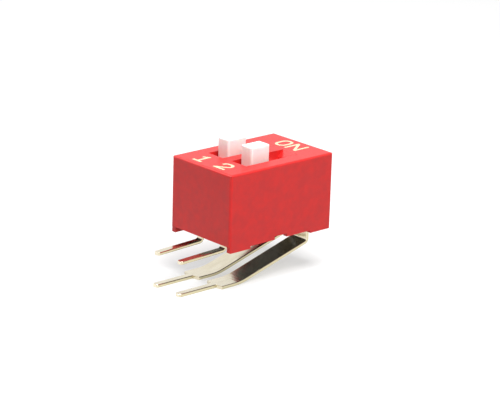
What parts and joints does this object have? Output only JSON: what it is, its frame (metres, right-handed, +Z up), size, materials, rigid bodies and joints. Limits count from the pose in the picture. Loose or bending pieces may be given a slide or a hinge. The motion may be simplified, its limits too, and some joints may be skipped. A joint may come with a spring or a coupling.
{
  "type": "slide switch",
  "caption": "Right-angle board-edge slide switch: red moulded cover, white slide actuators in slots, black base and formed gold-plated solder leads.",
  "frame": {"origin": "middle of the four solder pins, in the plane of the cover's board face", "axes": "+X from the board face along the slide travel towards ON, +Y across the switch towards position 1, +Z up through the actuators"},
  "size_m": [0.0131, 0.0066, 0.0102],
  "materials": {
    "cover_red": "fine moulded texture",
    "base_black": "matt moulded",
    "resin_black": "poured, slightly glossy",
    "actuator_white": "smooth moulded, slightly translucent",
    "plated_spring": "bright gold plating",
    "plated_lead": "bright pale gold plating"
  },
  "bodies": {
    "housing": {"cover": "cover_red", "base": "base_black", "sealing_resin": "resin_black", "short_lead_1": "plated_lead", "short_lead_2": "plated_lead", "long_lead_1": "plated_lead", "long_lead_2": "plated_lead"},
    "actuator_1": {"slider_1": "actuator_white", "contact_spring_1": "plated_spring"},
    "actuator_2": {"slider_2": "actuator_white", "contact_spring_2": "plated_spring"}
  },
  "joints": [
    {"name": "actuator_1_slide", "type": "slide", "parent": "housing", "child": "actuator_1", "axis": [1, 0, 0], "range_m": [0, 0.00194]},
    {"name": "actuator_2_slide", "type": "slide", "parent": "housing", "child": "actuator_2", "axis": [1, 0, 0], "range_m": [0, 0.00194]}
  ]
}
